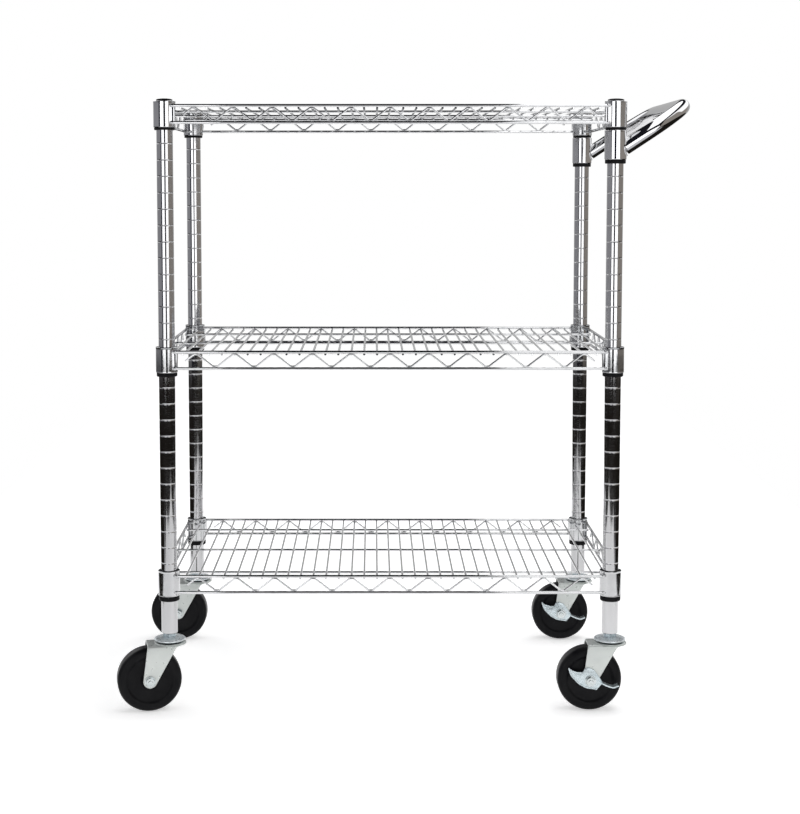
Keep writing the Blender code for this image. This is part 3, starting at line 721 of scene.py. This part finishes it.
def build_fork(corner):
    """The fork, pressed from one sheet: sections along a path up one leg, over the plate and down."""
    node = f"caster_fork_{corner}"
    place, hub = caster_frame(corner)
    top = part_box(node)[1].z
    bend = FORK_BEND
    path = []
    for k in range(13):
        z = hub.z - LEG_END_R + LEG_END_R * (1 - math.cos(math.pi / 2 * k / 12))
        path.append((-FORK_HALF, z, Vector((-1, 0))))
    for k in range(1, 9):
        path.append((-FORK_HALF, hub.z + (top - bend - hub.z) * k / 8, Vector((-1, 0))))
    for k in range(1, 7):
        a = math.pi / 2 * k / 6
        path.append((-FORK_HALF + bend - bend * math.cos(a), top - bend + bend * math.sin(a),
                     Vector((-math.cos(a), math.sin(a)))))
    for k in range(1, 9):
        path.append(((-FORK_HALF + bend) * (1 - k / 8), top, Vector((0, 1))))
    path += [(-y, z, Vector((-n.x, n.y))) for y, z, n in reversed(path[:-1])]

    rise = top - 0.002 - hub.z
    run = LEG_FRONT - hub.x
    tangent = math.atan2(rise, run) + math.asin(LEG_END_R / math.hypot(run, rise))
    touch = Vector((hub.x + LEG_END_R * math.sin(tangent), hub.z - LEG_END_R * math.cos(tangent)))

    def limits(y, z, normal):
        """The back and front edge of the sheet at one place along the bend path."""
        upward = max(normal.y, 0.0)
        if z <= touch.y:
            reach = math.sqrt(max(LEG_END_R ** 2 - (z - hub.z) ** 2, 0.0))
            front = hub.x + reach
        else:
            front = touch.x + (z - touch.y) / math.tan(tangent)
        if z <= hub.z:
            back = hub.x - math.sqrt(max(LEG_END_R ** 2 - (z - hub.z) ** 2, 0.0))
        else:
            back = hub.x - LEG_END_R + LEG_BACK_LEAN * (z - hub.z) / (top - hub.z)
        plate = math.sqrt(max(FORK_END_R ** 2 - y ** 2, 0.0))
        blend = upward ** 1.5
        return back, front * (1 - blend) + plate * blend

    steps = 12
    edge = FORK_EDGE
    turned = [(edge * (1 - math.sin(a)), edge * (1 - math.cos(a))) for a in
              (math.pi / 2 * k / 3 for k in range(4))]
    rings = []
    for y, z, normal in path:
        back, front = limits(y, z, normal)
        back = min(back, hub.x - edge - 0.0001)
        front = max(front, hub.x + edge + 0.0001)
        section = [(back + edge + (front - back - 2 * edge) * k / steps, 0.0) for k in range(1, steps)]
        section += [(front - one, other) for one, other in turned]
        section += [(front - other, FORK_SHEET - one) for one, other in turned]
        section += [(back + one, FORK_SHEET - other) for one, other in turned]
        section += [(back + other, one) for one, other in turned]
        rings.append([place @ Vector((x, y - normal.x * depth, z - normal.y * depth))
                      for x, depth in section])
    rim_bead = [(0.0100, top - 0.0004), (0.0242, top - 0.0004), (0.0250, top + 0.0003),
                (0.0247, top + 0.0009), (0.0238, top + 0.0012), (0.0226, top + 0.0010),
                (0.0200, top + 0.0005), (0.0120, top + 0.0004)]
    shape = Shape()
    shape.rings(rings)
    shape.lathe(rim_bead, 64, place)
    shape.piece(f"pressed_fork_{corner}", fork_zinc, f"swivel_{corner}", node, 50)


def build_wheel(corner):
    """A solid moulded wheel: crowned tread, rounded shoulders, dished sides and a raised hub."""
    node = f"caster_wheel_{corner}"
    place, hub = caster_frame(corner)
    axis = place @ Matrix.Translation(hub) @ Matrix.Rotation(math.pi / 2, 4, "X")
    half = [(0.0046, HUB_HALF), (0.0105, HUB_HALF), (0.0122, HUB_HALF - 0.0006),
            (0.0130, HUB_HALF - 0.0020), (0.0140, 0.0138), (0.0155, 0.0128), (0.0330, 0.0128),
            (0.0350, 0.0132), (0.0364, 0.0146), (0.0378, 0.0156), (0.0400, WHEEL_HALF)]
    shoulder = 0.0075
    half += arc((WHEEL_R - shoulder, WHEEL_HALF - shoulder), shoulder, math.pi / 2, math.radians(8), 9)
    half += [(WHEEL_R, 0.0040)]
    profile = half + [(r, -z) for r, z in reversed(half)]
    shape = Shape()
    shape.lathe(profile, 96, axis)
    shape.piece(f"moulded_wheel_{corner}", wheel_black, f"wheel_{corner}", node, 50)


def build_axle(corner):
    """The axle bolt: hexagon head behind, washer and nut in front, and the thread's end past the nut."""
    node = f"caster_axle_{corner}"
    place, hub = caster_frame(corner)
    axis = place @ Matrix.Translation(hub) @ Matrix.Rotation(math.pi / 2, 4, "X")
    near = FORK_HALF + GAP + (BRAKE_ROOM if corner in BRAKED else 0.0)
    far = -FORK_HALF - GAP
    bolt = [(0.0032, near + 0.0078), (0.0038, near + 0.0072), (0.0040, near), (0.0040, far),
            (0.0038, far - 0.0004)]
    washer = [(0.0042, near), (0.0086, near), (0.0088, near + 0.0004), (0.0086, near + WASHER),
              (0.0042, near + WASHER)]
    shape = Shape()
    shape.lathe(bolt, 32, axis, wrap=False)
    shape.lathe(washer, 40, axis)
    hex_rings(shape, NUT_WIDTH, near + WASHER, near + 0.0062, axis)
    hex_rings(shape, NUT_WIDTH, far - 0.0052, far, axis)
    shape.piece(f"axle_bolt_{corner}", bolt_zinc, f"swivel_{corner}", node)


def build_brake(corner):
    """The brake lever: a leaf-shaped side plate with a turned-out rim and a curved tread at its far end."""
    node = f"brake_lever_{corner}"
    place, hub = caster_frame(corner)
    inner = FORK_HALF + GAP
    lower = rounded([(-0.0344, 0.0208), (-0.0305, 0.0088), (-0.0185, -0.0040), (-0.0065, -0.0107),
                     (0.0107, -0.0130)], 0.02, 6)
    upper = rounded([(0.0198, -0.0030), (0.0135, 0.0071), (0.0055, 0.0176), (-0.0025, 0.0212),
                     (-0.0098, 0.0200), (-0.0116, 0.0138), (-0.0200, 0.0140), (-0.0280, 0.0162),
                     (-0.0344, 0.0208)], 0.004, 6)
    outline = [tuple(point) for point in lower] + [tuple(point) for point in upper[:-1]]
    upright = place @ Matrix.Translation(hub) @ Matrix.Rotation(math.pi / 2, 4, "X")
    shape = Shape()
    shape.slab(outline, inner, inner + BRAKE_SHEET, upright, 0.0004)
    rim = [upright @ Vector((p.x, p.y, inner + BRAKE_SHEET * 0.5 + 0.0006)) for p in lower]
    shape.wire(rim, 0.0013, 10)
    tread = rounded([(0.0175, -0.0012), (0.0250, -0.0048), (0.0345, -0.0078), (0.0430, -0.0045)], 0.008, 6)
    rings = []
    for k, point in enumerate(tread):
        ahead = tread[min(k + 1, len(tread) - 1)] - tread[max(k - 1, 0)]
        normal = Vector((-ahead.y, ahead.x)).normalized() * PEDAL_THICK / 2
        corners = []
        for side, depth in ((1, 0.0), (1, PEDAL_WIDTH), (-1, PEDAL_WIDTH), (-1, 0.0)):
            spot = point + normal * side
            corners.append(upright @ Vector((spot.x, spot.y, inner + depth)))
        rings.append(corners)
    shape.rings(rings)
    shape.piece(f"side_brake_{corner}", brake_zinc, f"brake_{corner}", node, 40)


# ---------------------------------------------------------------- studio

def studio_world():
    """White to the camera; in reflections grey walls with a dark gap, a ceiling and a ground."""
    world = bpy.data.worlds.new("studio")
    bpy.context.scene.world = world
    world.use_nodes = True
    nodes, links = world.node_tree.nodes, world.node_tree.links
    nodes.clear()
    direction = nodes.new("ShaderNodeTexCoord")
    split = nodes.new("ShaderNodeSeparateXYZ")
    links.new(direction.outputs["Generated"], split.inputs["Vector"])
    x, y, z = split.outputs["X"], split.outputs["Y"], split.outputs["Z"]

    bearing = maths(nodes, links, "ARCTAN2", x, maths(nodes, links, "MULTIPLY", y, -1.0))
    turn = maths(nodes, links, "MULTIPLY_ADD", bearing, 1 / TURN, 0.5)
    brown = (0.35, 0.32, 0.29)
    grey = (0.35, 0.35, 0.37)
    wall = ramp(nodes, links, turn, [
        (0.00, 0.52), (0.05, 0.52), (0.09, 0.46), (0.13, grey), (0.345, grey), (0.355, (0.01, 0.012, 0.03)),
        (0.61, 0.01), (0.62, brown), (0.87, brown), (0.91, 0.46), (0.95, 0.52), (1.0, 0.52)])

    slope = maths(nodes, links, "DIVIDE", x, maths(nodes, links, "MAXIMUM", z, 0.05))
    across = maths(nodes, links, "MULTIPLY_ADD", slope, 1 / 4, 0.5)
    dark = (0.012, 0.012, 0.016)
    ceiling = ramp(nodes, links, across, [(0.00, 1.6), (0.24, 1.6), (0.27, dark), (0.73, dark), (0.76, 1.6),
                                          (1.0, 1.6)])

    behind = smooth(nodes, links, y, -0.1, 0.3)
    gap = smooth(nodes, links, maths(nodes, links, "ABSOLUTE", bearing), 0.38, 0.28)
    front_top = maths(nodes, links, "MULTIPLY_ADD", gap, -0.36, 0.58)
    wall_top = maths(nodes, links, "MULTIPLY_ADD", behind, -0.36, front_top)
    above = smooth(nodes, links, maths(nodes, links, "SUBTRACT", z, wall_top), -0.04, 0.06)
    upper = mixed(nodes, links, above, wall, ceiling)

    near = smooth(nodes, links, z, -0.205, -0.235)
    ahead = smooth(nodes, links, y, -0.42, -0.56)
    is_pale = maths(nodes, links, "MULTIPLY", near, ahead)
    ground = mixed(nodes, links, is_pale, (0.014, 0.012, 0.010), (0.80, 0.80, 0.82))
    below = smooth(nodes, links, z, -0.093, -0.118)
    studio_colour = mixed(nodes, links, below, upper, ground)

    studio = nodes.new("ShaderNodeBackground")
    links.new(studio_colour, studio.inputs["Color"])
    white = nodes.new("ShaderNodeBackground")
    white.inputs["Color"].default_value = (1.0, 1.0, 1.0, 1.0)
    path = nodes.new("ShaderNodeLightPath")
    choose = nodes.new("ShaderNodeMixShader")
    links.new(path.outputs["Is Camera Ray"], choose.inputs["Fac"])
    links.new(studio.outputs["Background"], choose.inputs[1])
    links.new(white.outputs["Background"], choose.inputs[2])
    output = nodes.new("ShaderNodeOutputWorld")
    links.new(choose.outputs["Shader"], output.inputs["Surface"])


def studio_floor():
    """A sheet of pale paper under the cart, glowing a little so that it ends as white as the background."""
    mesh = bpy.data.meshes.new("studio_floor")
    left, right, front, back = -1.05, 1.05, -1.65, 5.0
    mesh.from_pydata([(left, front, -0.0004), (right, front, -0.0004), (right, back, -0.0004),
                      (left, back, -0.0004)], [], [(0, 1, 2, 3)])
    floor = bpy.data.objects.new("studio_floor", mesh)
    bpy.context.scene.collection.objects.link(floor)
    material, nodes, links, shader = new_material("floor_paper")
    shader.inputs["Roughness"].default_value = 0.9
    shader.inputs["Emission Color"].default_value = (1.0, 1.0, 1.0, 1.0)
    # Painted light: the glow changes with depth. It is weakest about a metre in front of the cart, steady
    # beneath it and strongest far behind.
    depth = maths(nodes, links, "MULTIPLY_ADD", place_axis(nodes, links, "Y"), 0.25, 0.5)
    glow = ramp(nodes, links, depth, [(0.10, 0.31), (0.24, 0.27), (0.34, 0.45), (0.55, 0.45),
                                      (0.95, 0.74)])
    links.new(glow, shader.inputs["Emission Strength"])
    fibre = noise(nodes, links, 140.0, 4.0, 0.6)
    links.new(ramp(nodes, links, fibre, [(0.3, 0.90), (0.7, 0.93)]), shader.inputs["Base Color"])
    mesh.materials.append(material)


def soft_light(name, location, target, size, power, seen):
    """A rectangular soft light; seen says whether the chrome mirrors it."""
    lamp = bpy.data.lights.new(name, "AREA")
    lamp.shape = "RECTANGLE"
    lamp.size, lamp.size_y = size
    lamp.energy = power
    holder = bpy.data.objects.new(name, lamp)
    bpy.context.scene.collection.objects.link(holder)
    holder.visible_glossy = seen
    holder.visible_camera = False
    holder.location = location
    holder.rotation_euler = (Vector(target) - Vector(location)).to_track_quat("-Z", "Y").to_euler()


def studio_camera():
    """At the photograph's height and distance, looking along +Y and a little down."""
    camera = bpy.data.cameras.new("camera")
    camera.lens = 71.56
    camera.shift_x = 0.0331
    camera.shift_y = -0.11
    holder = bpy.data.objects.new("camera", camera)
    bpy.context.scene.collection.objects.link(holder)
    middle_x = (post_axis("front_left")[0] + post_axis("front_right")[0]) / 2
    middle_y = (post_axis("front_left")[1] + post_axis("rear_left")[1]) / 2
    holder.location = (middle_x - 0.0265, middle_y - 2.728, 0.8298)
    holder.rotation_euler = (math.pi / 2 - 0.0809, 0, 0)
    bpy.context.scene.camera = holder


def build_cart():
    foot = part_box("post_front_left")[0].z
    # Painted shade: the seal and kingpin head below the race plate are coloured near black, standing in for
    # the shade in the gap over the fork; above the plate the hexagon takes a darker blue-grey tone.
    paint_shade_and_tone_bands(race_zinc, foot - 0.0117, foot - 0.0062, (0.02, 0.03, 0.04), (0.46, 0.54, 0.58))
    for corner in CORNERS:
        build_post(corner)
        build_cap(corner)
        build_insert(corner)
        build_stem(corner)
        build_fork(corner)
        build_wheel(corner)
        build_axle(corner)
        for level in LEVELS:
            build_sleeve(f"{level}_sleeve_{corner}", corner, f"{level}_shelf_{corner.split('_')[1]}_end")
    for corner in BRAKED:
        build_sleeve(f"handle_sleeve_{corner}", corner, "push_handle")
        build_brake(corner)
    for level in LEVELS:
        build_mat(level)
        for side in ("front", "rear"):
            build_side_truss(level, side)
        for side in ("left", "right"):
            build_end_truss(level, side)
    build_handle()


build_cart()
studio_world()
studio_floor()
soft_light("overhead", (0, 0.3, 3.2), (0, 0.3, 0.3), (4.0, 4.0), 48, False)
for side, light_x, size, power in (("left", -1.42, (1.78, 1.26), 15.5), ("right", 1.38, (2.04, 1.26), 17.5)):
    soft_light(f"softbox_{side}", (light_x, FRONT_LIGHT_Y, FRONT_LIGHT_Z), (light_x, 0.0, FRONT_LIGHT_Z),
               size, power, True)
soft_light("boom", (0.48, -0.1, 1.5), (0.48, -0.1, 0.0), (0.5, 1.8), 5, True)
studio_camera()
bpy.context.scene.view_settings.view_transform = "Standard"
